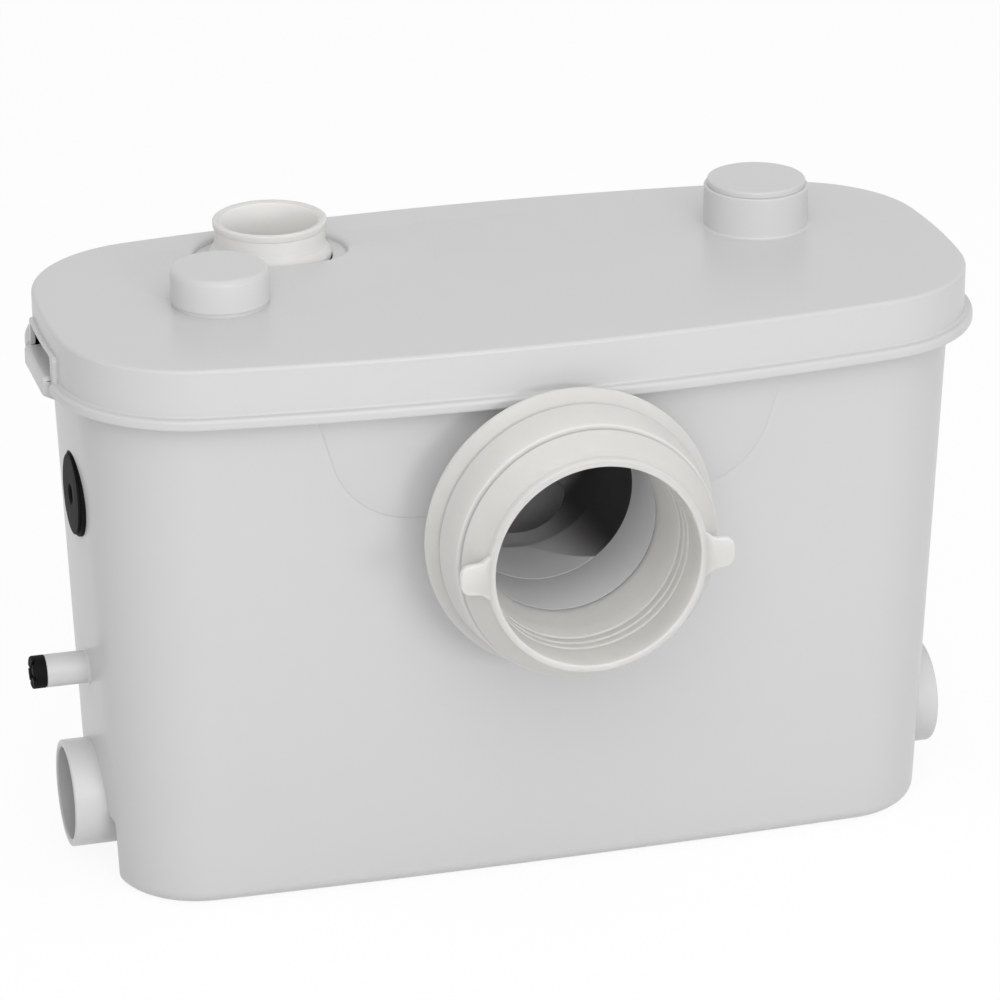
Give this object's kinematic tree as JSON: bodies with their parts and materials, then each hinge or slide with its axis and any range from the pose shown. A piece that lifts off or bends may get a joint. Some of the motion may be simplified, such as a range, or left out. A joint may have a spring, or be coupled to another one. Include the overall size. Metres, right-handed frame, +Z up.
{
  "type": "macerator toilet pump",
  "caption": "White macerator pump with a drafted oval tank, clip-on lid, stepped rubber pan connector, low side inlets, discharge sleeve and a grinder pump inside.",
  "frame": {"origin": "on the floor, under the middle of the tank", "axes": "+X along the length towards the spare lid inlet, -Y towards the pan, +Z up"},
  "size_m": [0.444, 0.259, 0.292],
  "materials": {
    "shell_white": "smooth moulded, light gloss",
    "rubber_cream": "soft satin moulded rubber",
    "rubber_black": "matte",
    "plastic_grey": "smooth moulded",
    "plastic_black": "moulded, fine grain",
    "steel": "turned",
    "core_steel": "stacked sheets",
    "copper": "varnished copper wire",
    "charcoal": "granular charcoal foam"
  },
  "bodies": {
    "tank_body": {"tank": "shell_white", "lid_gasket": "rubber_black", "wc_connector": "rubber_cream", "inlet_hopper": "plastic_grey", "discharge_sleeve": "rubber_cream", "valve_body": "plastic_black", "valve_pin": "steel", "discharge_pipe": "plastic_grey", "flap_pins": "steel", "cable_grommet": "rubber_black", "condensate_plug": "rubber_black", "grinder_basket": "plastic_black", "pump_volute": "plastic_black", "volute_cover": "plastic_black", "motor_housing": "plastic_black", "motor_cap": "plastic_black", "stator_core": "core_steel", "stator_windings": "copper", "upper_bearing": "steel", "lower_bearing": "steel", "shaft_seal": "rubber_black", "motor_screws": "steel", "pump_screws": "steel", "air_chamber": "plastic_grey", "switch_diaphragm": "rubber_black", "microswitch": "plastic_black", "control_box": "plastic_grey", "control_cover": "plastic_grey", "control_screws": "steel", "run_capacitor": "shell_white", "terminal_block": "shell_white"},
    "lid_body": {"lid": "shell_white", "vent_cap": "shell_white", "charcoal_filter": "charcoal", "blanking_cap": "shell_white"},
    "rotor": {"rotor_shaft": "steel", "rotor_core": "core_steel", "impeller": "plastic_black", "cutter_hub": "steel", "cutter_blades": "steel"},
    "left_flap": {"left_flap": "rubber_black"},
    "right_flap": {"right_flap": "rubber_black"},
    "valve_flap": {"valve_flap": "rubber_black"},
    "plunger": {"switch_plunger": "shell_white"}
  },
  "joints": [
    {"name": "lid_lift", "type": "slide", "parent": "tank_body", "child": "lid_body", "axis": [0, 0, 1], "range_m": [0, 0.12]},
    {"name": "rotor_spin", "type": "hinge", "parent": "tank_body", "child": "rotor", "pos_m": [0.095, 0.014, 0.1], "axis": [0, 0, 1], "continuous": true},
    {"name": "left_flap_swing", "type": "hinge", "parent": "tank_body", "child": "left_flap", "pos_m": [-0.1735, 0, 0.0625], "axis": [0, -1, 0], "range_deg": [0, 35], "stiffness_Nm_per_rad": 0.002, "springref_deg": -8.59},
    {"name": "right_flap_swing", "type": "hinge", "parent": "tank_body", "child": "right_flap", "pos_m": [0.1735, 0, 0.0625], "axis": [0, 1, 0], "range_deg": [0, 35], "stiffness_Nm_per_rad": 0.002, "springref_deg": -8.59},
    {"name": "valve_flap_swing", "type": "hinge", "parent": "tank_body", "child": "valve_flap", "pos_m": [-0.109, 0.051, 0.2032], "axis": [0, -1, 0], "range_deg": [0, 60]},
    {"name": "plunger_travel", "type": "slide", "parent": "tank_body", "child": "plunger", "axis": [0, 0, 1], "range_m": [0, 0.002], "stiffness_N_per_m": 200, "springref_m": -0.001}
  ]
}
